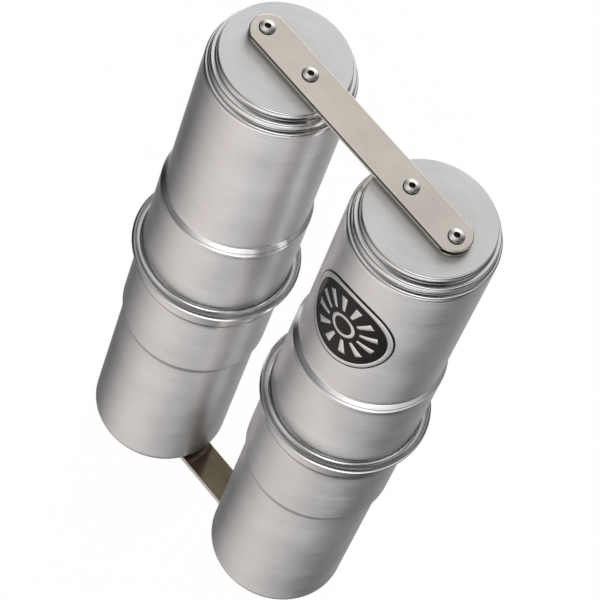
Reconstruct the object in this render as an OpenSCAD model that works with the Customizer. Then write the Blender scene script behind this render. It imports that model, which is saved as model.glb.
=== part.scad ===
// Double-canister ganza shaker: two sealed, stepped aluminium canisters side by side,
// joined end to end by two flat steel straps and filled with loose steel shot.
// +Z runs along the canisters and +X along the straps.
// The origin is at the bottom centre, level with the lowest rivet heads.

/* [Canisters] */
// Distance between the two canister axes
canister_spacing = 102; // [95:1:120]
// Length of one canister over its two flat ends
canister_length = 328; // [290:1:400]
// Outer diameter of the walls towards both ends
end_wall_d = 72.8; // [71:0.1:75]
// Outer diameter of the wider wall in the middle
middle_wall_d = 76.8; // [75.6:0.1:80]
// Thickness of the aluminium sheet
sheet_t = 0.9; // [0.6:0.1:1.1]
// Radius of the bottom edge
bottom_edge_r = 5.5; // [3:0.1:7]

/* [Stepped top end] */
// Diameter of the flat disc in the top end
top_disc_d = 63.5; // [60:0.1:65]
// Diameter of the ledge below the disc
ledge_d = 68.6; // [67:0.1:70]
// Depth of the ledge below the disc
ledge_depth = 4.8; // [3.5:0.1:6]
// Depth of the shoulder below the disc
shoulder_depth = 9.6; // [8:0.1:12]
// Edge radius of the disc and of the ledge
ring_edge_r = 0.6; // [0.4:0.1:1]
// Edge radius of the shoulder
shoulder_edge_r = 0.7; // [0.5:0.1:1.3]
// How far the metal below each edge leans outwards
edge_ease = 0.3; // [0.1:0.05:0.4]
// Depth over which it leans
edge_ease_depth = 2.2; // [1.6:0.1:2.8]

/* [Wall steps] */
// Depth of the upper step below the disc
upper_step_depth = 109.3; // [80:0.1:130]
// Length over which the upper step widens
upper_step_run = 3.6; // [3:0.1:5]
// Fillet radius where the upper step meets the walls
upper_step_fillet_r = 1.2; // [0.8:0.1:1.6]
// Height of the lower step above the bottom end
lower_step_height = 102.6; // [80:0.1:130]
// Length over which the softer lower step narrows
lower_step_run = 5; // [4:0.1:7]
// Fillet radius where the lower step meets the walls
lower_step_fillet_r = 5; // [3:0.1:8]

/* [Seam] */
// Height of the seam plane above the bottom end
seam_height = 164; // [150:1:190]
// Outer diameter of the rolled seam
seam_d = 87.2; // [85:0.1:92]
// Width of the lip folded back over the upper flange
hem_lip = 2.6; // [1.5:0.1:3]
// Radius of the fine groove rolled round the lip
hem_groove_r = 0.25; // [0.15:0.05:0.35]
// Outer diameter of the neck just below the seam
neck_d = 78.4; // [77.2:0.1:80.4]
// Length of that neck
neck_length = 12.5; // [8:0.1:20]
// Fillet radius at the neck's lower edge
neck_edge_r = 3; // [1:0.1:4]
// Fillet radius at the foot of the wall above the seam
foot_fillet_r = 1.8; // [1:0.1:2.2]

/* [Straps] */
// Width of the straps
strap_w = 19; // [17:0.1:19.8]
// Thickness of the straps
strap_t = 3.2; // [2.5:0.1:4]
// Distance from a canister axis to the tip of the strap
strap_reach = 23; // [21:0.1:26]
// Radius of the round strap ends
strap_end_r = 10; // [10:0.1:12]
// Edge radius of the straps
strap_edge_r = 0.6; // [0.3:0.1:1]

/* [Spacers] */
// Thickness of the spacer between a strap and a canister end
spacer_t = 1.6; // [1:0.1:2.5]
// How far the spacer stops short of the disc's edge
spacer_inset = 1.4; // [0.8:0.1:3]
// Edge radius of the spacers
spacer_edge_r = 0.3; // [0.1:0.1:0.4]

/* [Rivets] */
// Distance between the two rivets of one canister end
rivet_pitch = 30.8; // [26:0.1:32]
// Diameter of the domed rivet head
rivet_head_d = 8; // [7:0.1:9]
// Height of the domed rivet head
rivet_head_h = 1.5; // [1.2:0.1:2]
// Radius of its shallow dome
rivet_dome_r = 10; // [7:0.5:14]
// Edge radius of the head
rivet_edge_r = 0.5; // [0.2:0.1:0.7]
// Diameter of the flared mouth of the hole in the head
rivet_mouth_d = 3.2; // [2.9:0.1:3.8]
// Diameter of the rivet shank
rivet_shank_d = 4; // [3.6:0.1:4.4]
// Diameter of the bulb on the blind side
rivet_bulb_d = 6; // [5.4:0.1:6.6]
// Length of the bulb on the blind side
rivet_bulb_h = 3; // [2:0.1:4]
// Diameter of the pulled stem left in the rivet
stem_d = 2.4; // [2:0.1:2.6]
// Depth of the broken stem below the crown of the head
stem_recess = 1; // [0.6:0.1:1.4]
// Diameter of the stem's head at the blind end
stem_head_d = 4.6; // [4:0.1:5]
// Length of the stem's head
stem_head_h = 1.4; // [1:0.1:2]

/* [Badge] */
// Diameter of the round badge, measured along the wall
badge_d = 53.5; // [40:0.1:60]
// Thickness of the badge plate
badge_t = 0.5; // [0.3:0.1:0.8]
// Depth of the badge's centre below the disc
badge_depth = 58.4; // [48:0.1:68]
// Direction in which the badge faces, counted from +X
badge_turn = -87; // [-120:1:-60]

/* [Shot] */
// Diameter of one steel ball
shot_d = 6; // [5:0.1:6.5]
// Gap between neighbouring balls
shot_gap = 0.8; // [0.6:0.1:1.5]
// Clearance round the whole charge
shot_clear = 0.5; // [0.4:0.1:1]

/* [Clearances] */
// Radial clearance of a rivet shank in its holes
shank_clear = 0.05; // [0.02:0.01:0.1]
// Radial clearance of the stem in its rivet
stem_clear = 0.03; // [0.01:0.01:0.06]
// Radial clearance of the upper flange inside the rolled seam
hem_clear = 0.1; // [0.05:0.01:0.3]

/* [Hidden] */
$fn = 96;
// Overrun of every cut past the face that it leaves
cut = 1;
corner_steps = 6;
badge_steps = 72;

end_wall_r = end_wall_d / 2;
middle_wall_r = middle_wall_d / 2;
top_disc_r = top_disc_d / 2;
ledge_r = ledge_d / 2;
neck_r = neck_d / 2;
seam_r = seam_d / 2;

end_stack = rivet_head_h + strap_t + spacer_t;
canister_bottom = end_stack;
canister_top = canister_bottom + canister_length;
upper_length = canister_length - seam_height;

strap_tip = canister_spacing / 2 + strap_reach;
strap_end_x = strap_tip - strap_end_r;
spacer_inner_x = canister_spacing / 2 - top_disc_r + spacer_inset;

grip = strap_t + spacer_t + sheet_t;
rivet_hole_r = rivet_shank_d / 2 + shank_clear;
stem_bore_r = stem_d / 2 + stem_clear;
mouth_r = rivet_mouth_d / 2;
mouth_share = 0.7;
mouth_h = stem_recess * mouth_share;
mouth_flare = (mouth_r - stem_bore_r) / mouth_h;
// The dome is highest at the edge of the mouth and runs out into the rounded edge of the head
dome_centre = [0, rivet_head_h - sqrt(pow(rivet_dome_r, 2) - pow(mouth_r, 2))];
rim_r = rivet_head_d / 2 - rivet_edge_r;
rim_centre = [rim_r, dome_centre.y + sqrt(pow(rivet_dome_r - rivet_edge_r, 2) - pow(rim_r, 2))];
rim_angle = atan2(rim_centre.y - dome_centre.y, rim_r);
crown_share = 0.8;
crown_angle = acos(mouth_r * crown_share / rivet_dome_r);
bulb_chamfer = (rivet_bulb_d - rivet_shank_d) / 4;

// The upper step has a fine crease part of the way down its slope
crease_share = 0.68;
crease_r = end_wall_r + (middle_wall_r - end_wall_r) * crease_share;
crease_depth = upper_step_depth + upper_step_run * (crease_share - 1 / 2);
crease_run_share = 0.12;
crease_run = upper_step_run * crease_run_share;
crease_fillet_share = 0.15;
crease_fillet_r = upper_step_fillet_r * crease_fillet_share;
inner_corner_share = 0.7;
inner_corner_r = ring_edge_r * inner_corner_share;
ease_bend_share = 5;
ease_bend_r = edge_ease_depth * ease_bend_share;
neck_run_share = 2;
neck_run = (neck_r - middle_wall_r) * neck_run_share;
// The rolled edge is all but round over its three layers of sheet
hem_h = 3 * sheet_t;
hem_round_share = 0.48;
hem_edge_r = hem_h * hem_round_share;
groove_r = seam_r - (hem_edge_r + hem_lip) / 2;
upper_flange_r = seam_r - hem_edge_r - hem_clear;

shot_r = shot_d / 2;
shot_pitch = shot_d + shot_gap;
shot_row = shot_pitch * sin(60);
shot_field_r = top_disc_r - sheet_t - shot_r - shot_clear;
shot_rows = ceil(shot_field_r / shot_row);
rivet_keep_out = max(rivet_bulb_d, stem_head_d) / 2 + shot_r + shot_clear;

// Sides, ends and places of the repeated pieces
left = -1;
right = 1;
top = 1;
bottom = -1;
outer = 1;
inner = -1;

// A fillet takes no more than this share of either side of its corner
side_share = 0.5;

// Distance and direction from one point of a path to another
function span(from, to) = norm([to.x - from.x, to.y - from.y]);
function heading(from, to) = [to.x - from.x, to.y - from.y] / span(from, to);

// Points along an arc
function arc(centre, r, from, to) = [
    for (i = [0 : corner_steps])
        let (angle = from + (to - from) * i / corner_steps)
        centre + r * [cos(angle), sin(angle)]
];

// Positive where a path turns left, negative where it turns right
function turn(before, here, after) = cross(heading(before, here), heading(here, after));

// Points of the fillet that rounds one corner of a path; the corner's third value is its radius
function fillet(before, here, after) =
    let (
        back = heading(here, before),
        on = heading(here, after),
        half = acos(back * on) / 2,
        r = min(here[2], side_share * tan(half) * min(span(before, here), span(here, after))),
        centre = [here.x, here.y] + (back + on) / norm(back + on) * r / sin(half),
        start = [here.x, here.y] + back * r / tan(half) - centre,
        sweep = (180 - 2 * half) * sign(turn(before, here, after)),
        from = atan2(start.y, start.x)
    )
    arc(centre, r, from, from + sweep);

// A path with its corners rounded
function rounded(path) = [
    for (i = [0 : len(path) - 1])
        each i == 0 || i == len(path) - 1 || path[i][2] <= 0
            ? [[path[i].x, path[i].y]]
            : fillet(path[i - 1], path[i], path[i + 1])
];

// The same path moved a sheet's thickness to its left, with each fillet's radius to suit
function inner_face(path, t) = [
    for (i = [0 : len(path) - 1])
        let (
            back = i > 0 ? heading(path[i - 1], path[i]) : heading(path[0], path[1]),
            on = i < len(path) - 1 ? heading(path[i], path[i + 1]) : back,
            sides = [-back.y - on.y, back.x + on.x] / (1 + back * on),
            bend = i > 0 && i < len(path) - 1 ? sign(turn(path[i - 1], path[i], path[i + 1])) : 0
        )
        [path[i].x + sides.x * t, path[i].y + sides.y * t, path[i][2] > 0 ? path[i][2] - bend * t : 0]
];

function reversed(points) = [for (i = [len(points) - 1 : -1 : 0]) points[i]];

// Closed section of a sheet whose outer face follows the path
function sheet_section(path) = concat(rounded(path), reversed(rounded(inner_face(path, sheet_t))));

// Outer face of the upper shell: radius, depth below the disc, corner radius
upper_face = [
    [0, 0, 0],
    [top_disc_r, 0, ring_edge_r],
    [top_disc_r + edge_ease, edge_ease_depth, ease_bend_r],
    [top_disc_r + edge_ease, ledge_depth, inner_corner_r],
    [ledge_r, ledge_depth, ring_edge_r],
    [ledge_r + edge_ease, ledge_depth + edge_ease_depth, ease_bend_r],
    [ledge_r + edge_ease, shoulder_depth, inner_corner_r],
    [end_wall_r - edge_ease, shoulder_depth, shoulder_edge_r],
    [end_wall_r, shoulder_depth + edge_ease_depth, ease_bend_r],
    [end_wall_r, upper_step_depth - upper_step_run / 2, upper_step_fillet_r],
    [crease_r, crease_depth - crease_run / 2, crease_fillet_r],
    [crease_r, crease_depth + crease_run / 2, crease_fillet_r],
    [middle_wall_r, upper_step_depth + upper_step_run / 2, upper_step_fillet_r],
    [middle_wall_r, upper_length - sheet_t, foot_fillet_r],
    [upper_flange_r, upper_length - sheet_t, 0]
];

// Outer face of the lower shell: radius, height above the bottom end, corner radius
lower_face = [
    [0, 0, 0],
    [end_wall_r, 0, bottom_edge_r],
    [end_wall_r, lower_step_height - lower_step_run / 2, lower_step_fillet_r],
    [middle_wall_r, lower_step_height + lower_step_run / 2, lower_step_fillet_r],
    [middle_wall_r, seam_height - neck_length - neck_run, neck_edge_r],
    [neck_r, seam_height - neck_length, neck_edge_r],
    [neck_r, seam_height - sheet_t, foot_fillet_r],
    [seam_r, seam_height - sheet_t, hem_edge_r],
    [seam_r, seam_height + 2 * sheet_t, hem_edge_r],
    [seam_r - hem_lip, seam_height + 2 * sheet_t, 0]
];

// A flat section with rounded corners, standing on its base line
function soft_bar(w, h, r) = [
    for (corner = [[1, 0], [1, 1], [-1, 1], [-1, 0]])
        let (
            centre = [corner.x * (w / 2 - r), corner.y > 0 ? h - r : r],
            from = corner.x > 0 ? (corner.y > 0 ? 0 : -90) : (corner.y > 0 ? 90 : 180)
        )
        each arc(centre, r, from, from + 90)
];

// Places children at a canister end, with +Z pointing out of it
module at_end(end) {
    if (end == top)
        translate([0, 0, canister_top]) children();
    else
        translate([0, 0, canister_bottom]) mirror([0, 0, 1]) children();
}

function rivet_x(side, place) = side * (canister_spacing / 2 + place * rivet_pitch / 2);

// The holes of both rivets of one canister end, from well inside the wall to past the strap
module rivet_holes(side) {
    for (place = [outer, inner])
        translate([rivet_x(side, place), 0, -sheet_t - cut])
            cylinder(r = rivet_hole_r, h = grip + 2 * cut);
}

module upper_shell(side) {
    color("silver") difference() {
        translate([side * canister_spacing / 2, 0, canister_top]) mirror([0, 0, 1])
            rotate_extrude() polygon(sheet_section(upper_face));
        at_end(top) rivet_holes(side);
    }
}

module lower_shell(side) {
    color("silver") difference() {
        translate([side * canister_spacing / 2, 0, canister_bottom])
            rotate_extrude() polygon(sheet_section(lower_face));
        at_end(bottom) rivet_holes(side);
        translate([side * canister_spacing / 2, 0, canister_bottom + seam_height + 2 * sheet_t])
            rotate_extrude() translate([groove_r, 0]) circle(r = hem_groove_r);
    }
}

// Straight stretch of strap stock between two places along X
module stock(from_x, to_x, t, edge_r) {
    translate([from_x, 0, 0]) rotate([90, 0, 90])
        linear_extrude(to_x - from_x) polygon(soft_bar(strap_w, t, edge_r));
}

// Round end of the stock, with its edge rounded like the sides
module stock_end(t, edge_r) {
    rotate_extrude() intersection() {
        polygon(soft_bar(2 * strap_end_r, t, edge_r));
        translate([0, -cut]) square([strap_end_r + cut, t + 2 * cut]);
    }
}

// Everything between two places along X, wider and taller than the stock
module reach(from_x, to_x, t) {
    translate([from_x, -strap_end_r - cut, -cut])
        cube([to_x - from_x, 2 * (strap_end_r + cut), t + 2 * cut]);
}

module strap(end) {
    color("tan") at_end(end) difference() {
        translate([0, 0, spacer_t]) intersection() {
            stock(-strap_tip - cut, strap_tip + cut, strap_t, strap_edge_r);
            union() {
                reach(-strap_end_x, strap_end_x, strap_t);
                for (side = [left, right])
                    translate([side * strap_end_x, 0, 0]) stock_end(strap_t, strap_edge_r);
            }
        }
        rivet_holes(left);
        rivet_holes(right);
    }
}

module spacer(side, end) {
    color("tan") at_end(end) difference() {
        mirror([side == left ? 1 : 0, 0, 0]) intersection() {
            stock(spacer_inner_x, strap_tip + cut, spacer_t, spacer_edge_r);
            union() {
                reach(spacer_inner_x - cut, strap_end_x, spacer_t);
                translate([strap_end_x, 0, 0]) stock_end(spacer_t, spacer_edge_r);
            }
        }
        rivet_holes(side);
    }
}

// Half of the head's section: foot, rounded edge, dome
function head_section() = concat(
    [[0, 0], [rivet_head_d / 2, 0]],
    arc(rim_centre, rivet_edge_r, 0, rim_angle),
    [for (i = [1 : corner_steps]) arc(dome_centre, rivet_dome_r, rim_angle, crown_angle)[i]],
    [[0, dome_centre.y + rivet_dome_r * sin(crown_angle)]]
);

// Blind rivet with its head on the strap's outer face
module rivet(side, end, place) {
    color("gainsboro") at_end(end) translate([rivet_x(side, place), 0, spacer_t + strap_t])
        difference() {
            union() {
                rotate_extrude() polygon(head_section());
                translate([0, 0, -grip]) cylinder(d = rivet_shank_d, h = grip);
                translate([0, 0, -grip - rivet_bulb_h]) rotate_extrude() polygon([
                    [0, 0],
                    [rivet_bulb_d / 2 - bulb_chamfer, 0],
                    [rivet_bulb_d / 2, bulb_chamfer],
                    [rivet_bulb_d / 2, rivet_bulb_h],
                    [0, rivet_bulb_h]
                ]);
            }
            translate([0, 0, -grip - rivet_bulb_h - cut])
                cylinder(r = stem_bore_r, h = grip + rivet_bulb_h + rivet_head_h + 2 * cut);
            translate([0, 0, rivet_head_h - mouth_h - cut]) cylinder(
                r1 = stem_bore_r - mouth_flare * cut, r2 = mouth_r + mouth_flare * cut, h = mouth_h + 2 * cut);
        }
}

// Pulled stem: its head closes the blind end and its broken tip stays below the crown
module stem(side, end, place) {
    color("dimgray") at_end(end) translate([rivet_x(side, place), 0, spacer_t + strap_t - grip - rivet_bulb_h]) {
        cylinder(d = stem_d, h = grip + rivet_bulb_h + rivet_head_h - stem_recess);
        translate([0, 0, -stem_head_h]) cylinder(d = stem_head_d, h = stem_head_h);
    }
}

// Outline of the badge as seen square on, once it is bent round the wall
function badge_outline() = [
    for (i = [0 : badge_steps - 1])
        let (along = badge_d / 2 * cos(360 * i / badge_steps))
        [end_wall_r * sin(along / end_wall_r * 180 / PI), badge_d / 2 * sin(360 * i / badge_steps)]
];

module badge() {
    color("black") translate([canister_spacing / 2, 0, canister_top - badge_depth])
        rotate([0, 0, badge_turn]) intersection() {
            rotate([90, 0, 90]) linear_extrude(end_wall_r + badge_t + cut) polygon(badge_outline());
            difference() {
                translate([0, 0, -badge_d / 2 - cut])
                    cylinder(r = end_wall_r + badge_t, h = badge_d + 2 * cut);
                translate([0, 0, -badge_d / 2 - 2 * cut])
                    cylinder(r = end_wall_r, h = badge_d + 4 * cut);
            }
        }
}

// Places of the balls: a close layer that leaves room round the rivets
function clear_of_rivets(p) =
    min(norm(p - [rivet_pitch / 2, 0]), norm(p + [rivet_pitch / 2, 0])) >= rivet_keep_out;
function shot_places() = [
    for (row = [-shot_rows : shot_rows], column = [-shot_rows : shot_rows])
        let (p = [(column + abs(row) % 2 / 2) * shot_pitch, row * shot_row])
        if (norm(p) <= shot_field_r && clear_of_rivets(p)) p
];

module shot(side) {
    color("slategray")
        translate([side * canister_spacing / 2, 0, canister_bottom + sheet_t + shot_clear + shot_r])
            for (p = shot_places())
                translate([p.x, p.y, 0]) sphere(r = shot_r, $fn = 32);
}

upper_shell(left);  // left_upper_shell
lower_shell(left);  // left_lower_shell
upper_shell(right);  // right_upper_shell
lower_shell(right);  // right_lower_shell
strap(top);  // top_strap
strap(bottom);  // bottom_strap
spacer(left, top);  // top_left_spacer
spacer(right, top);  // top_right_spacer
spacer(left, bottom);  // bottom_left_spacer
spacer(right, bottom);  // bottom_right_spacer
rivet(left, top, outer);  // top_left_outer_rivet
rivet(left, top, inner);  // top_left_inner_rivet
rivet(right, top, inner);  // top_right_inner_rivet
rivet(right, top, outer);  // top_right_outer_rivet
rivet(left, bottom, outer);  // bottom_left_outer_rivet
rivet(left, bottom, inner);  // bottom_left_inner_rivet
rivet(right, bottom, inner);  // bottom_right_inner_rivet
rivet(right, bottom, outer);  // bottom_right_outer_rivet
stem(left, top, outer);  // top_left_outer_stem
stem(left, top, inner);  // top_left_inner_stem
stem(right, top, inner);  // top_right_inner_stem
stem(right, top, outer);  // top_right_outer_stem
stem(left, bottom, outer);  // bottom_left_outer_stem
stem(left, bottom, inner);  // bottom_left_inner_stem
stem(right, bottom, inner);  // bottom_right_inner_stem
stem(right, bottom, outer);  // bottom_right_outer_stem
badge();
shot(left);  // left_shot
shot(right);  // right_shot
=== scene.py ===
# Double-canister ganza shaker: finishes, badge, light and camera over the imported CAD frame.
import math

import bmesh
import bpy
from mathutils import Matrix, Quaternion, Vector


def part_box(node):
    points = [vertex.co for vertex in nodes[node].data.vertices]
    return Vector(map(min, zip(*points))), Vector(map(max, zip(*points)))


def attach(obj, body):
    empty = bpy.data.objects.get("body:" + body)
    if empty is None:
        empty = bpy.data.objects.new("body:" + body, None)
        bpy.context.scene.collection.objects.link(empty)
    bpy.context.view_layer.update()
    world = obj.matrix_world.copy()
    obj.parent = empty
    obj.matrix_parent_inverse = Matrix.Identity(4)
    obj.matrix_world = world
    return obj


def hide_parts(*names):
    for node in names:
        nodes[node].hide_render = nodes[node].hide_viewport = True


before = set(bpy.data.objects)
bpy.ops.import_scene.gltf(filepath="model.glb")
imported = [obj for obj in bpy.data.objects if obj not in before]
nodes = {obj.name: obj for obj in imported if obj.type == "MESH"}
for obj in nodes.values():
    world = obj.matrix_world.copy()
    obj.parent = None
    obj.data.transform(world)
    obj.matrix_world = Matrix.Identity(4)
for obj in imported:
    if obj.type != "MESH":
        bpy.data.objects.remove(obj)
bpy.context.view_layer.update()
print("frame loaded:", len(nodes), "nodes")

mm = 0.001
shells = [name for name in nodes if name.endswith("_shell")]
spacers = [name for name in nodes if name.endswith("_spacer")]
rivets = [name for name in nodes if name.endswith("_rivet")]
stems = [name for name in nodes if name.endswith("_stem")]
charges = [name for name in nodes if name.endswith("_shot")]


def middle(name):
    low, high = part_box(name)
    return (low + high) / 2


canisterAxisX = middle("right_upper_shell").x
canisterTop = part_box("right_upper_shell")[1].z
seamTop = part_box("right_lower_shell")[1].z


def linearColour(hexColour):
    # sRGB hex to the linear values that sockets hold
    shares = [int(hexColour[i:i + 2], 16) / 255 for i in (1, 3, 5)]
    return [s / 12.92 if s <= 0.04045 else ((s + 0.055) / 1.055) ** 2.4 for s in shares] + [1]


def addNode(tree, kind, sockets=None, **settings):
    # adds one node, sets its options, and fills or links its sockets
    node = tree.nodes.new(kind)
    for key, value in settings.items():
        setattr(node, key, value)
    for key, value in (sockets or {}).items():
        if isinstance(value, bpy.types.NodeSocket):
            tree.links.new(value, node.inputs[key])
        else:
            node.inputs[key].default_value = value
    return node


def newMaterial(name):
    material = bpy.data.materials.new(name)
    material.use_nodes = True
    material.node_tree.nodes.clear()
    return material, material.node_tree


def finish(tree, shader):
    addNode(tree, "ShaderNodeOutputMaterial", {"Surface": shader})


def flatness(tree):
    # 1 where a surface lies level, 0 where it stands upright
    normal = addNode(tree, "ShaderNodeNewGeometry").outputs["Normal"]
    level = addNode(tree, "ShaderNodeSeparateXYZ", {0: normal}).outputs["Z"]
    return addNode(tree, "ShaderNodeMath", {0: level}, operation="ABSOLUTE").outputs[0]


# spun aluminium, left satin from the lathe: faint rings run round each canister, and handling
# leaves soft cloudy patches
spun = {
    "pale": "#F0EFEF",
    "dull": "#E0DFDF",
    "roughness": (0.34, 0.42),
    "lineWidth": 0.9 * mm,      # real tool marks are finer; this coarse they just show
    "bandWidth": 9 * mm,
    "cloudSize": 24 * mm,
    "wander": {"lines": 12.0, "bands": 20.0},
    "bumpHeight": 0.003 * mm,
    "bumpStrength": 0.5,
    "shares": {"lines": 0.8, "bands": 0.45, "clouds": 1.1},
    "blendRange": (0.8, 1.55),
    # smoother on the rings, the upper step and the seam, duller on the flat disc
    "zones": {
        "disc": {"low": canisterTop - 0.15 * mm, "high": canisterTop + mm, "soft": 0.1 * mm,
                 "roughness": 0.5},
        "topRings": {"low": canisterTop - 13 * mm, "high": canisterTop - 0.15 * mm, "soft": 0.1 * mm,
                     "roughness": 0.15},
        "upperStep": {"low": canisterTop - 114 * mm, "high": canisterTop - 105 * mm, "soft": 1.5 * mm,
                      "roughness": 0.24},
        "seam": {"low": seamTop - 18 * mm, "high": seamTop + 3 * mm, "soft": 1.5 * mm,
                 "roughness": 0.2},
    },
    # painted shade and painted reflection: a darker tone in the metal's colour under the edges and in the
    # corners of the stepped end, in the step's crease and on the seam's flange: radius, height, reach and
    # share of each
    "paintedShadeTone": "#5A5958",
    "paintedShadeLines": {
        "discEdge": (31.95 * mm, canisterTop - 0.8 * mm, 0.5 * mm, 0.8),
        "discFoot": (32.05 * mm, canisterTop - 4.8 * mm, 0.75 * mm, 0.6),
        "ledgeEdge": (34.5 * mm, canisterTop - 5.6 * mm, 0.5 * mm, 0.8),
        "ledgeFoot": (34.6 * mm, canisterTop - 9.6 * mm, 0.75 * mm, 0.6),
        "shoulderEdge": (36.3 * mm, canisterTop - 10.6 * mm, 0.6 * mm, 0.8),
        "stepCrease": (37.7 * mm, canisterTop - 109.9 * mm, 0.45 * mm, 0.5),
        "seamFlange": (41.5 * mm, seamTop, 1.9 * mm, 0.6),
    },
}


def spunAluminium():
    material, tree = newMaterial("spunAluminium")
    place = addNode(tree, "ShaderNodeTexCoord").outputs["Object"]
    split = addNode(tree, "ShaderNodeSeparateXYZ", {0: place})
    side = addNode(tree, "ShaderNodeMath", {0: split.outputs["X"]}, operation="SIGN")
    axisX = addNode(tree, "ShaderNodeMath", {0: side.outputs[0], 1: canisterAxisX}, operation="MULTIPLY")
    out = addNode(tree, "ShaderNodeMath", {0: split.outputs["X"], 1: axisX.outputs[0]}, operation="SUBTRACT")
    spoke = addNode(tree, "ShaderNodeCombineXYZ", {"X": out.outputs[0], "Y": split.outputs["Y"]})
    radius = addNode(tree, "ShaderNodeVectorMath", {0: spoke.outputs[0]}, operation="LENGTH")
    # along the profile: height on the walls, radius on the flat ends
    along = addNode(tree, "ShaderNodeMath", {0: split.outputs["Z"], 1: radius.outputs["Value"]},
                    operation="SUBTRACT")

    def rings(width, wander):
        # noise that runs round the axis and varies slowly on the way
        steps = addNode(tree, "ShaderNodeMath", {0: along.outputs[0], 1: 1 / width}, operation="MULTIPLY")
        drift = addNode(tree, "ShaderNodeVectorMath", {0: spoke.outputs[0], "Scale": wander},
                        operation="SCALE")
        driftSplit = addNode(tree, "ShaderNodeSeparateXYZ", {0: drift.outputs[0]})
        where = addNode(tree, "ShaderNodeCombineXYZ", {
            "X": steps.outputs[0], "Y": driftSplit.outputs["X"], "Z": driftSplit.outputs["Y"]})
        return addNode(tree, "ShaderNodeTexNoise", {"Vector": where.outputs[0], "Scale": 1.0, "Detail": 2.0,
                                                    "Roughness": 0.6}).outputs["Fac"]

    lines = rings(spun["lineWidth"], spun["wander"]["lines"])
    bands = rings(spun["bandWidth"], spun["wander"]["bands"])
    clouds = addNode(tree, "ShaderNodeTexNoise", {"Vector": place, "Scale": 1 / spun["cloudSize"],
                                                  "Detail": 3.0, "Roughness": 0.55}).outputs["Fac"]
    shares = spun["shares"]
    blend = addNode(tree, "ShaderNodeMath", {0: lines, 1: shares["lines"]}, operation="MULTIPLY")
    blend = addNode(tree, "ShaderNodeMath", {0: bands, 1: shares["bands"], 2: blend.outputs[0]},
                    operation="MULTIPLY_ADD")
    blend = addNode(tree, "ShaderNodeMath", {0: clouds, 1: shares["clouds"], 2: blend.outputs[0]},
                    operation="MULTIPLY_ADD")
    tone = addNode(tree, "ShaderNodeMapRange", {"Value": blend.outputs[0], "From Min": spun["blendRange"][0],
                                                "From Max": spun["blendRange"][1]})
    colour = addNode(tree, "ShaderNodeMix", {0: tone.outputs[0], 6: linearColour(spun["dull"]),
                                             7: linearColour(spun["pale"])}, data_type="RGBA")
    polish = addNode(tree, "ShaderNodeMapRange", {"Value": blend.outputs[0],
                                                  "From Min": spun["blendRange"][0],
                                                  "From Max": spun["blendRange"][1],
                                                  "To Min": spun["roughness"][0],
                                                  "To Max": spun["roughness"][1]})
    rough = polish.outputs[0]
    for zone in spun["zones"].values():
        rise = addNode(tree, "ShaderNodeMapRange", {
            "Value": split.outputs["Z"], "From Min": zone["low"] - zone["soft"],
            "From Max": zone["low"] + zone["soft"]}, interpolation_type="SMOOTHSTEP")
        within = addNode(tree, "ShaderNodeMapRange", {
            "Value": split.outputs["Z"], "From Min": zone["high"] - zone["soft"],
            "From Max": zone["high"] + zone["soft"], "To Min": rise.outputs[0], "To Max": 0.0},
            interpolation_type="SMOOTHSTEP")
        rough = addNode(tree, "ShaderNodeMix", {0: within.outputs[0], 2: rough,
                                                3: zone["roughness"]}).outputs[0]
    # painted shade and painted reflection: the colour darkens near each listed corner of the profile
    profile = addNode(tree, "ShaderNodeCombineXYZ", {"X": radius.outputs["Value"], "Y": split.outputs["Z"]})
    dark = 0.0
    for lineRadius, height, reach, share in spun["paintedShadeLines"].values():
        away = addNode(tree, "ShaderNodeVectorMath", {0: profile.outputs[0], 1: (lineRadius, height, 0)},
                       operation="DISTANCE")
        dark = addNode(tree, "ShaderNodeMapRange", {"Value": away.outputs["Value"], "From Min": reach / 2,
                                                    "From Max": reach, "To Min": share,
                                                    "To Max": dark}).outputs[0]
    colour = addNode(tree, "ShaderNodeMix", {0: dark, 6: colour.outputs[2],
                                             7: linearColour(spun["paintedShadeTone"])}, data_type="RGBA")
    bump = addNode(tree, "ShaderNodeBump", {"Height": lines, "Strength": spun["bumpStrength"],
                                            "Distance": spun["bumpHeight"]})
    shader = addNode(tree, "ShaderNodeBsdfPrincipled", {
        "Base Color": colour.outputs[2], "Metallic": 1.0, "Roughness": rough,
        "Normal": bump.outputs[0]})
    finish(tree, shader.outputs[0])
    return material


# nickel plate on rolled steel strap: warmer than the aluminium, smooth and even
nickel = {
    "bright": ("#DED7CD", "#D1CAC1"),
    # a darker grey for the spacers under the strap
    "underStrapGrey": ("#A39C94", "#8B847C"),
    "roughness": (0.09, 0.15),
    "patchSize": 22 * mm,
    "patchRange": (0.45, 0.85),
    "scratchLength": 30 * mm,
    "scratchWidth": 0.6 * mm,
    "scratchShare": 0.3,
    # painted shade and painted reflection: the dark olive brown on the bottom strap's inner face, under the
    # canisters, in uneven patches
    "paintedShadeDeep": "#645A4D",
    "paintedShadeLight": "#736B57",
    "shadePatchRange": (0.5, 0.8),
    "inwardRange": (0.8, 0.95),
    # darker metal that stands in for dark reflections along the sides and on the round ends
    "sideTone": "#2E2B28",
    "sideDepth": 1.0 * mm,
    "sideLine": 0.7 * mm,
    "endReach": 9 * mm,
    "endFadeShare": 0.7,
    "uprightRange": (0.25, 0.5),
}


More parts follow.
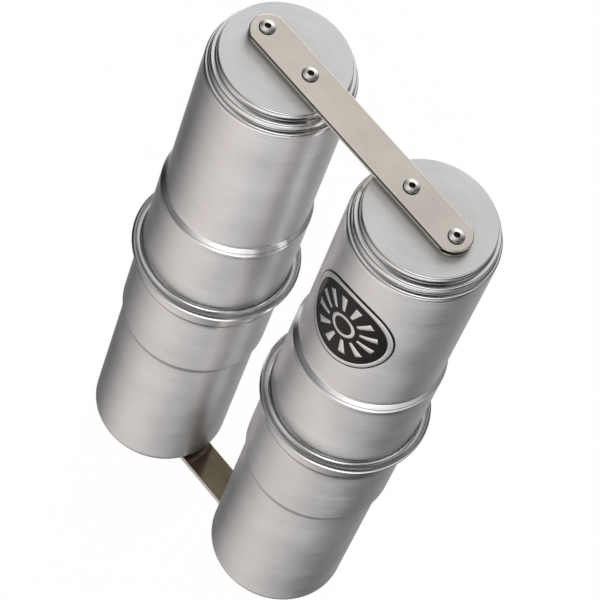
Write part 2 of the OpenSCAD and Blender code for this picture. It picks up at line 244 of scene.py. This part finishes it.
def nickelPlate(name, tone, paintedInnerShade, darkSides):
    material, tree = newMaterial(name)
    place = addNode(tree, "ShaderNodeTexCoord").outputs["Object"]
    clouds = addNode(tree, "ShaderNodeTexNoise", {"Vector": place, "Scale": 1 / nickel["patchSize"],
                                                  "Detail": 3.0}).outputs["Fac"]
    drawn = addNode(tree, "ShaderNodeMapping", {"Vector": place, "Scale": (
        1 / nickel["scratchLength"], 1 / nickel["scratchWidth"], 1 / nickel["scratchWidth"])})
    scratches = addNode(tree, "ShaderNodeTexNoise", {"Vector": drawn.outputs[0], "Scale": 1.0,
                                                     "Detail": 3.0}).outputs["Fac"]
    blend = addNode(tree, "ShaderNodeMath", {0: scratches, 1: nickel["scratchShare"], 2: clouds},
                    operation="MULTIPLY_ADD")
    least, most = nickel["patchRange"]
    colour = addNode(tree, "ShaderNodeMix", {
        0: addNode(tree, "ShaderNodeMapRange", {"Value": blend.outputs[0], "From Min": least,
                                                "From Max": most}).outputs[0],
        6: linearColour(nickel[tone][1]), 7: linearColour(nickel[tone][0])}, data_type="RGBA")
    polish = addNode(tree, "ShaderNodeMapRange", {
        "Value": blend.outputs[0], "From Min": least, "From Max": most,
        "To Min": nickel["roughness"][0], "To Max": nickel["roughness"][1]})
    if paintedInnerShade:
        # painted shade and painted reflection, only on the face towards the canisters
        facing = addNode(tree, "ShaderNodeSeparateXYZ", {
            0: addNode(tree, "ShaderNodeNewGeometry").outputs["Normal"]}).outputs["Z"]
        inward = addNode(tree, "ShaderNodeMapRange", {"Value": facing, "From Min": nickel["inwardRange"][0],
                                                      "From Max": nickel["inwardRange"][1]})
        innerShadeTone = addNode(tree, "ShaderNodeMix", {
            0: addNode(tree, "ShaderNodeMapRange", {"Value": blend.outputs[0],
                                                    "From Min": nickel["shadePatchRange"][0],
                                                    "From Max": nickel["shadePatchRange"][1]}).outputs[0],
            6: linearColour(nickel["paintedShadeDeep"]), 7: linearColour(nickel["paintedShadeLight"])}, data_type="RGBA")
        colour = addNode(tree, "ShaderNodeMix", {0: inward.outputs[0], 6: colour.outputs[2],
                                                 7: innerShadeTone.outputs[2]}, data_type="RGBA")
    if darkSides:
        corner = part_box("top_strap")[1]
        split = addNode(tree, "ShaderNodeSeparateXYZ", {0: place})
        below = addNode(tree, "ShaderNodeMath", {0: split.outputs["Z"], 1: corner.z - nickel["sideDepth"]},
                        operation="SUBTRACT")
        off = addNode(tree, "ShaderNodeMath", {0: below.outputs[0]}, operation="ABSOLUTE")
        line = addNode(tree, "ShaderNodeMapRange", {
            "Value": off.outputs[0], "From Min": nickel["sideLine"] / 2, "From Max": nickel["sideLine"],
            "To Min": 1.0, "To Max": 0.0})
        out = addNode(tree, "ShaderNodeMath", {0: split.outputs["X"]}, operation="ABSOLUTE")
        ends = addNode(tree, "ShaderNodeMapRange", {
            "Value": out.outputs[0], "From Min": corner.x - nickel["endReach"],
            "From Max": corner.x - nickel["endReach"] * nickel["endFadeShare"],
            "To Min": line.outputs[0], "To Max": 1.0})
        upright = addNode(tree, "ShaderNodeMapRange", {
            "Value": flatness(tree), "From Min": nickel["uprightRange"][0],
            "From Max": nickel["uprightRange"][1], "To Min": ends.outputs[0], "To Max": 0.0})
        colour = addNode(tree, "ShaderNodeMix", {0: upright.outputs[0], 6: colour.outputs[2],
                                                 7: linearColour(nickel["sideTone"])}, data_type="RGBA")
    shader = addNode(tree, "ShaderNodeBsdfPrincipled", {
        "Base Color": colour.outputs[2], "Metallic": 1.0, "Roughness": polish.outputs[0]})
    finish(tree, shader.outputs[0])
    return material


# small hardware and the badge's bare metal: one recipe, four finishes
hardware = {
    "polishedSteel": {"pale": "#DEDAD5", "dull": "#CECAC5", "roughness": (0.15, 0.24), "cloudSize": 2 * mm,
                      "rim": "#696562", "rimRange": (0.6, 0.85)},
    "brokenSteel": {"pale": "#4A4643", "dull": "#2A2725", "roughness": (0.5, 0.7), "cloudSize": 0.8 * mm},
    "plainSteel": {"pale": "#A9A8A8", "dull": "#8C8A89", "roughness": (0.3, 0.45), "cloudSize": 3 * mm},
    "brightAluminium": {"pale": "#EDECEB", "dull": "#DDDCDB", "roughness": (0.25, 0.4), "cloudSize": 4 * mm},
}


def steel(name):
    look = hardware[name]
    material, tree = newMaterial(name)
    place = addNode(tree, "ShaderNodeTexCoord").outputs["Object"]
    clouds = addNode(tree, "ShaderNodeTexNoise", {"Vector": place, "Scale": 1 / look["cloudSize"],
                                                  "Detail": 3.0}).outputs["Fac"]
    colour = addNode(tree, "ShaderNodeMix", {0: clouds, 6: linearColour(look["dull"]),
                                             7: linearColour(look["pale"])}, data_type="RGBA")
    polish = addNode(tree, "ShaderNodeMapRange", {"Value": clouds, "To Min": look["roughness"][0],
                                                  "To Max": look["roughness"][1]})
    if "rim" in look:
        # darker metal that stands in for the dark reflections on the steep rim of each head
        steep = addNode(tree, "ShaderNodeMapRange", {
            "Value": flatness(tree), "From Min": look["rimRange"][0], "From Max": look["rimRange"][1],
            "To Min": 1.0, "To Max": 0.0})
        colour = addNode(tree, "ShaderNodeMix", {0: steep.outputs[0], 6: colour.outputs[2],
                                                 7: linearColour(look["rim"])}, data_type="RGBA")
    shader = addNode(tree, "ShaderNodeBsdfPrincipled", {
        "Base Color": colour.outputs[2], "Metallic": 1.0, "Roughness": polish.outputs[0]})
    finish(tree, shader.outputs[0])
    return material


def dress(names, material):
    for name in names:
        nodes[name].data.materials.clear()
        nodes[name].data.materials.append(material)


dress(shells, spunAluminium())
dress(["top_strap"], nickelPlate("polishedNickelPlate", "bright", False, True))
# the bottom strap's inner face carries painted shade and painted reflection
dress(["bottom_strap"], nickelPlate("nickelPlateWithPaintedShade", "bright", True, False))
# the spacers under the strap take the darker grey
dress(spacers, nickelPlate("underStrapNickelPlate", "underStrapGrey", False, False))
dress(rivets, steel("polishedSteel"))
dress(stems, steel("brokenSteel"))
dress(charges, steel("plainSteel"))
print("finishes done")

# round badge bent onto the upper wall: pressed aluminium plate, rim and raised motif left bright,
# the field and a fine edge line filled with black stoving enamel
badge = {
    "plateRadius": 26.75 * mm, "wallRadius": 36.4 * mm, "facing": -87, "underside": 0.03 * mm,
    "edgeLine": 1.0 * mm, "rimInner": 23.2 * mm, "rimTop": 0.48 * mm, "edgeTop": 0.34 * mm,
    "fieldTop": 0.30 * mm, "motifTop": 0.44 * mm, "soften": 0.06 * mm,
    "ringRadii": (5.2 * mm, 7.0 * mm), "rays": 12, "rayRadii": (9.6 * mm, 18.6 * mm),
    "rayHalfWidths": (0.8 * mm, 1.9 * mm), "rayCuts": 6, "turns": 144, "ringStep": 1.5 * mm,
    "smoothUpTo": 35, "bevelFrom": 1.0,      # a turn in degrees, and one in radians
}


def spinProfile(target, profile, closed):
    # lathes a list of (radius, height) points round the plate's own axis
    corners = [target.verts.new((radius, 0, height)) for radius, height in profile]
    pairs = list(zip(corners, corners[1:])) + ([(corners[-1], corners[0])] if closed else [])
    edges = [target.edges.new(pair) for pair in pairs]
    bmesh.ops.spin(target, geom=corners + edges, cent=(0, 0, 0), axis=(0, 0, 1),
                   angle=math.tau, steps=badge["turns"], use_merge=True)


def stepped(start, end, height):
    # points along one flat, close enough to follow the bend
    count = max(1, math.ceil(abs(end - start) / badge["ringStep"]))
    return [(start + (end - start) * i / count, height) for i in range(count + 1)]


def badgePlate():
    plate = bmesh.new()
    soft, line = badge["soften"], badge["plateRadius"] - badge["edgeLine"]
    profile = stepped(0, badge["rimInner"] - soft, badge["fieldTop"])
    profile += [(badge["rimInner"] + soft, badge["rimTop"])] + stepped(
        badge["rimInner"] + 2 * soft, line - 2 * soft, badge["rimTop"] + soft / 3)
    profile += [(line - soft, badge["rimTop"]), (line, badge["edgeTop"]),
                (badge["plateRadius"] - 2 * soft, badge["edgeTop"]),
                (badge["plateRadius"], badge["edgeTop"] / 2)]
    profile += stepped(badge["plateRadius"], 0, badge["underside"])
    spinProfile(plate, profile, False)
    bmesh.ops.remove_doubles(plate, verts=plate.verts, dist=soft / 10)
    bmesh.ops.recalc_face_normals(plate, faces=plate.faces)
    return plate


def badgeMotif():
    motif = bmesh.new()
    base, top = badge["fieldTop"] - badge["soften"], badge["motifTop"]
    inner, outer = badge["ringRadii"]
    spinProfile(motif, stepped(inner, outer, top) + stepped(outer, inner, base), True)
    bmesh.ops.remove_doubles(motif, verts=motif.verts, dist=badge["soften"] / 10)
    for i in range(badge["rays"]):
        aim = Quaternion((0, 0, 1), math.tau * (i + 0.5) / badge["rays"]).to_matrix()
        (near, far), (narrow, wide) = badge["rayRadii"], badge["rayHalfWidths"]
        corners = [motif.verts.new(aim @ Vector(place)) for place in (
            (near, -narrow, base), (far, -wide, base), (far, wide, base), (near, narrow, base))]
        foot = motif.faces.new(corners)
        raised = bmesh.ops.extrude_face_region(motif, geom=[foot])["geom"]
        lifted = [item for item in raised if isinstance(item, bmesh.types.BMVert)]
        bmesh.ops.translate(motif, verts=lifted, vec=(0, 0, top - base))
        longSides = [edge for corner in corners + lifted for edge in corner.link_edges
                     if edge.calc_length() > far - near]
        bmesh.ops.subdivide_edges(motif, edges=list(set(longSides)), cuts=badge["rayCuts"],
                                   use_grid_fill=True)
    sharp = [edge for edge in motif.edges if len(edge.link_faces) == 2
             and edge.calc_face_angle() > badge["bevelFrom"]
             and min(corner.co.z for corner in edge.verts) > base + (top - base) / 2]
    bmesh.ops.bevel(motif, geom=sharp, offset=badge["soften"], segments=2, profile=0.5,
                    affect="EDGES", material=-1)
    bmesh.ops.recalc_face_normals(motif, faces=motif.faces)
    return motif


def makeBadge():
    mesh = bpy.data.meshes.new("badgePlate")
    plate, motif = badgePlate(), badgeMotif()
    line = badge["plateRadius"] - badge["edgeLine"]
    for face in plate.faces:
        reach = face.calc_center_median()
        radius = math.hypot(reach.x, reach.y)
        face.material_index = 1 if badge["rimInner"] < radius < line else 0
    for face in motif.faces:
        face.material_index = 1
    motifMesh = bpy.data.meshes.new("motif")
    motif.to_mesh(motifMesh)
    plate.from_mesh(motifMesh)
    bpy.data.meshes.remove(motifMesh)
    middleZ = middle("badge").z
    for corner in plate.verts:
        # bend: across the plate becomes a turn round the canister, thickness stays square to the wall
        across, up, out = corner.co
        bearing = math.radians(badge["facing"]) + across / badge["wallRadius"]
        reach = badge["wallRadius"] + out
        corner.co = (canisterAxisX + reach * math.cos(bearing), reach * math.sin(bearing), middleZ + up)
    plate.to_mesh(mesh)
    plate.free()
    motif.free()
    for face in mesh.polygons:
        face.use_smooth = True
    mesh.set_sharp_from_angle(angle=math.radians(badge["smoothUpTo"]))
    mesh.materials.append(blackEnamel())
    mesh.materials.append(steel("brightAluminium"))
    piece = bpy.data.objects.new("badgePlate", mesh)
    bpy.context.scene.collection.objects.link(piece)
    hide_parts("badge")
    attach(piece, "shaker")


enamel = {"deep": "#060607", "worn": "#101011", "roughness": (0.1, 0.2), "flowSize": 1.6 * mm,
          "speckSize": 0.25 * mm, "dustRange": (0.55, 0.75), "flowRange": (0.3, 0.7),
          "flowHeight": 0.01 * mm, "bumpStrength": 0.6, "ior": 1.25}


def blackEnamel():
    # stoved enamel: deep glossy black with a faint orange-peel surface and fine dust specks
    material, tree = newMaterial("stovedBlackEnamel")
    place = addNode(tree, "ShaderNodeTexCoord").outputs["Object"]
    flow = addNode(tree, "ShaderNodeTexNoise", {"Vector": place, "Scale": 1 / enamel["flowSize"],
                                                "Detail": 2.0}).outputs["Fac"]
    specks = addNode(tree, "ShaderNodeTexNoise", {"Vector": place, "Scale": 1 / enamel["speckSize"],
                                                  "Detail": 2.0}).outputs["Fac"]
    dust = addNode(tree, "ShaderNodeMapRange", {"Value": specks, "From Min": enamel["dustRange"][0],
                                                "From Max": enamel["dustRange"][1]})
    colour = addNode(tree, "ShaderNodeMix", {0: dust.outputs[0], 6: linearColour(enamel["deep"]),
                                             7: linearColour(enamel["worn"])}, data_type="RGBA")
    polish = addNode(tree, "ShaderNodeMapRange", {"Value": flow, "From Min": enamel["flowRange"][0],
                                                  "From Max": enamel["flowRange"][1],
                                                  "To Min": enamel["roughness"][0],
                                                  "To Max": enamel["roughness"][1]})
    bump = addNode(tree, "ShaderNodeBump", {"Height": flow, "Strength": enamel["bumpStrength"],
                                            "Distance": enamel["flowHeight"]})
    shader = addNode(tree, "ShaderNodeBsdfPrincipled", {
        "Base Color": colour.outputs[2], "Roughness": polish.outputs[0], "IOR": enamel["ior"],
        "Normal": bump.outputs[0]})
    finish(tree, shader.outputs[0])
    return material


makeBadge()
print("badge done")

# camera, with values that a program solved from the outlines in the photograph, and studio
view = {"aim": (-3.9 * mm, 16.4 * mm, 170.3 * mm), "azimuth": -59.786, "elevation": 56.166,
        "distance": 1388.6 * mm, "roll": 23.07, "lens": 165.89, "sensor": 36.0}


def direction(azimuth, elevation):
    # unit vector towards a compass direction, azimuth counted from +X
    a, e = math.radians(azimuth), math.radians(elevation)
    return Vector((math.cos(a) * math.cos(e), math.sin(a) * math.cos(e), math.sin(e)))


def makeCamera():
    data = bpy.data.cameras.new("camera")
    data.lens, data.sensor_width = view["lens"], view["sensor"]
    camera = bpy.data.objects.new("camera", data)
    bpy.context.scene.collection.objects.link(camera)
    towards = direction(view["azimuth"], view["elevation"])
    camera.location = Vector(view["aim"]) + towards * view["distance"]
    camera.rotation_mode = "QUATERNION"
    roll = Quaternion((0, 0, 1), math.radians(view["roll"]))
    camera.rotation_quaternion = (-towards).to_track_quat("-Z", "Y") @ roll
    bpy.context.scene.camera = camera


studio = {
    "floorSize": 8.0, "floor": "#F4F4F3", "cameraWhite": 0.94, "whiteLevel": 1.03, "level": 1.06,
}

# soft lobes of light round the set: direction, how tight each is, and how strong. They come from a
# least-squares fit to the brightness of the photograph, apart from blackFlag and leftBox, the strength
# of overheadBox and the tints, which were set one by one. blackFlag takes light away.
softBoxes = {
    "backBoard": {"azimuth": 133, "elevation": -20, "tightness": 14.0, "strength": 2.98},
    "frontBox": {"azimuth": -48, "elevation": 26, "tightness": 13.9, "strength": 2.62},
    "frontBoard": {"azimuth": -21, "elevation": -20, "tightness": 13.5, "strength": 1.83},
    "highBackBox": {"azimuth": 117, "elevation": 27, "tightness": 14.0, "strength": 1.77},
    "overheadBox": {"azimuth": 154, "elevation": 74, "tightness": 14.0, "strength": 1.12},
    "leftBoard": {"azimuth": -126, "elevation": -20, "tightness": 11.7, "strength": 0.27},
    "fillBoard": {"azimuth": -80, "elevation": -10, "tightness": 12.2, "strength": 0.85},
    "lowLeftBoard": {"azimuth": -92, "elevation": -49, "tightness": 12.9, "strength": 0.51,
                     "tint": "#FFEFE8"},
    "rightBox": {"azimuth": 22, "elevation": 17, "tightness": 10.4, "strength": 1.05},
    "leftBox": {"azimuth": -117, "elevation": 46, "tightness": 14.0, "strength": 0.8},
    "blackFlag": {"azimuth": -35, "elevation": 62, "tightness": 20.0, "strength": -0.8},
    "lowFrontBoard": {"azimuth": -56, "elevation": -35, "tightness": 13.3, "strength": 0.73},
    "lowRightBoard": {"azimuth": 55, "elevation": -36, "tightness": 12.1, "strength": 0.34},
    "floorBoard": {"azimuth": -126, "elevation": -60, "tightness": 13.8, "strength": 0.39},
    "lowBackBoard": {"azimuth": 111, "elevation": -44, "tightness": 13.9, "strength": 0.73},
}


def makeFloor():
    mesh = bpy.data.meshes.new("floor")
    grid = bmesh.new()
    bmesh.ops.create_grid(grid, x_segments=1, y_segments=1, size=studio["floorSize"] / 2)
    grid.to_mesh(mesh)
    grid.free()
    floor = bpy.data.objects.new("floor", mesh)
    bpy.context.scene.collection.objects.link(floor)
    material, tree = newMaterial("paintedFloor")
    rays = addNode(tree, "ShaderNodeLightPath").outputs
    seen = addNode(tree, "ShaderNodeMath", {0: rays["Is Camera Ray"], 1: studio["cameraWhite"]},
                   operation="MULTIPLY")
    paint = addNode(tree, "ShaderNodeBsdfDiffuse", {"Color": linearColour(studio["floor"])})
    white = addNode(tree, "ShaderNodeEmission", {"Color": (1, 1, 1, 1), "Strength": studio["whiteLevel"]})
    mixed = addNode(tree, "ShaderNodeMixShader", {0: seen.outputs[0], 1: paint.outputs[0],
                                                  2: white.outputs[0]})
    # reflections pass through the floor, to the light boxes below it and not to the white background
    mirrored = addNode(tree, "ShaderNodeMath", {0: rays["Is Glossy Ray"], 1: rays["Is Transmission Ray"]},
                       operation="MAXIMUM")
    through = addNode(tree, "ShaderNodeBsdfTransparent")
    mixed = addNode(tree, "ShaderNodeMixShader", {0: mirrored.outputs[0], 1: mixed.outputs[0],
                                                  2: through.outputs[0]})
    finish(tree, mixed.outputs[0])
    mesh.materials.append(material)


def makeWorld():
    world = bpy.data.worlds.new("studio")
    bpy.context.scene.world = world
    world.use_nodes = True
    tree = world.node_tree
    tree.nodes.clear()
    place = addNode(tree, "ShaderNodeTexCoord").outputs["Generated"]
    total = None
    for box in softBoxes.values():
        # each box fades smoothly with the angle from its middle
        middleWay = direction(box["azimuth"], box["elevation"])
        near = addNode(tree, "ShaderNodeVectorMath", {0: place, 1: middleWay}, operation="DOT_PRODUCT")
        off = addNode(tree, "ShaderNodeMath", {0: near.outputs["Value"], 1: box["tightness"],
                                               2: -box["tightness"]}, operation="MULTIPLY_ADD")
        fade = addNode(tree, "ShaderNodeMath", {0: off.outputs[0]}, operation="EXPONENT")
        strong = addNode(tree, "ShaderNodeMath", {0: fade.outputs[0], 1: box["strength"] * studio["level"]},
                         operation="MULTIPLY")
        light = addNode(tree, "ShaderNodeVectorMath", {0: linearColour(box.get("tint", "#FFFFFF"))[:3],
                                                       "Scale": strong.outputs[0]}, operation="SCALE")
        if total is None:
            total = light
        else:
            total = addNode(tree, "ShaderNodeVectorMath", {0: total.outputs[0], 1: light.outputs[0]},
                            operation="ADD")
    total = addNode(tree, "ShaderNodeVectorMath", {0: total.outputs[0], 1: (0, 0, 0)}, operation="MAXIMUM")
    # the camera alone sees white, and metal mirrors the light boxes
    rays = addNode(tree, "ShaderNodeLightPath").outputs
    shown = addNode(tree, "ShaderNodeMix", {0: rays["Is Camera Ray"], 6: total.outputs[0], 7: (1, 1, 1, 1)},
                    data_type="RGBA")
    sky = addNode(tree, "ShaderNodeBackground", {"Color": shown.outputs[2], "Strength": 1.0})
    addNode(tree, "ShaderNodeOutputWorld", {"Surface": sky.outputs[0]})


makeCamera()
makeFloor()
makeWorld()
bpy.context.scene.view_settings.view_transform = "Standard"
print("studio done")
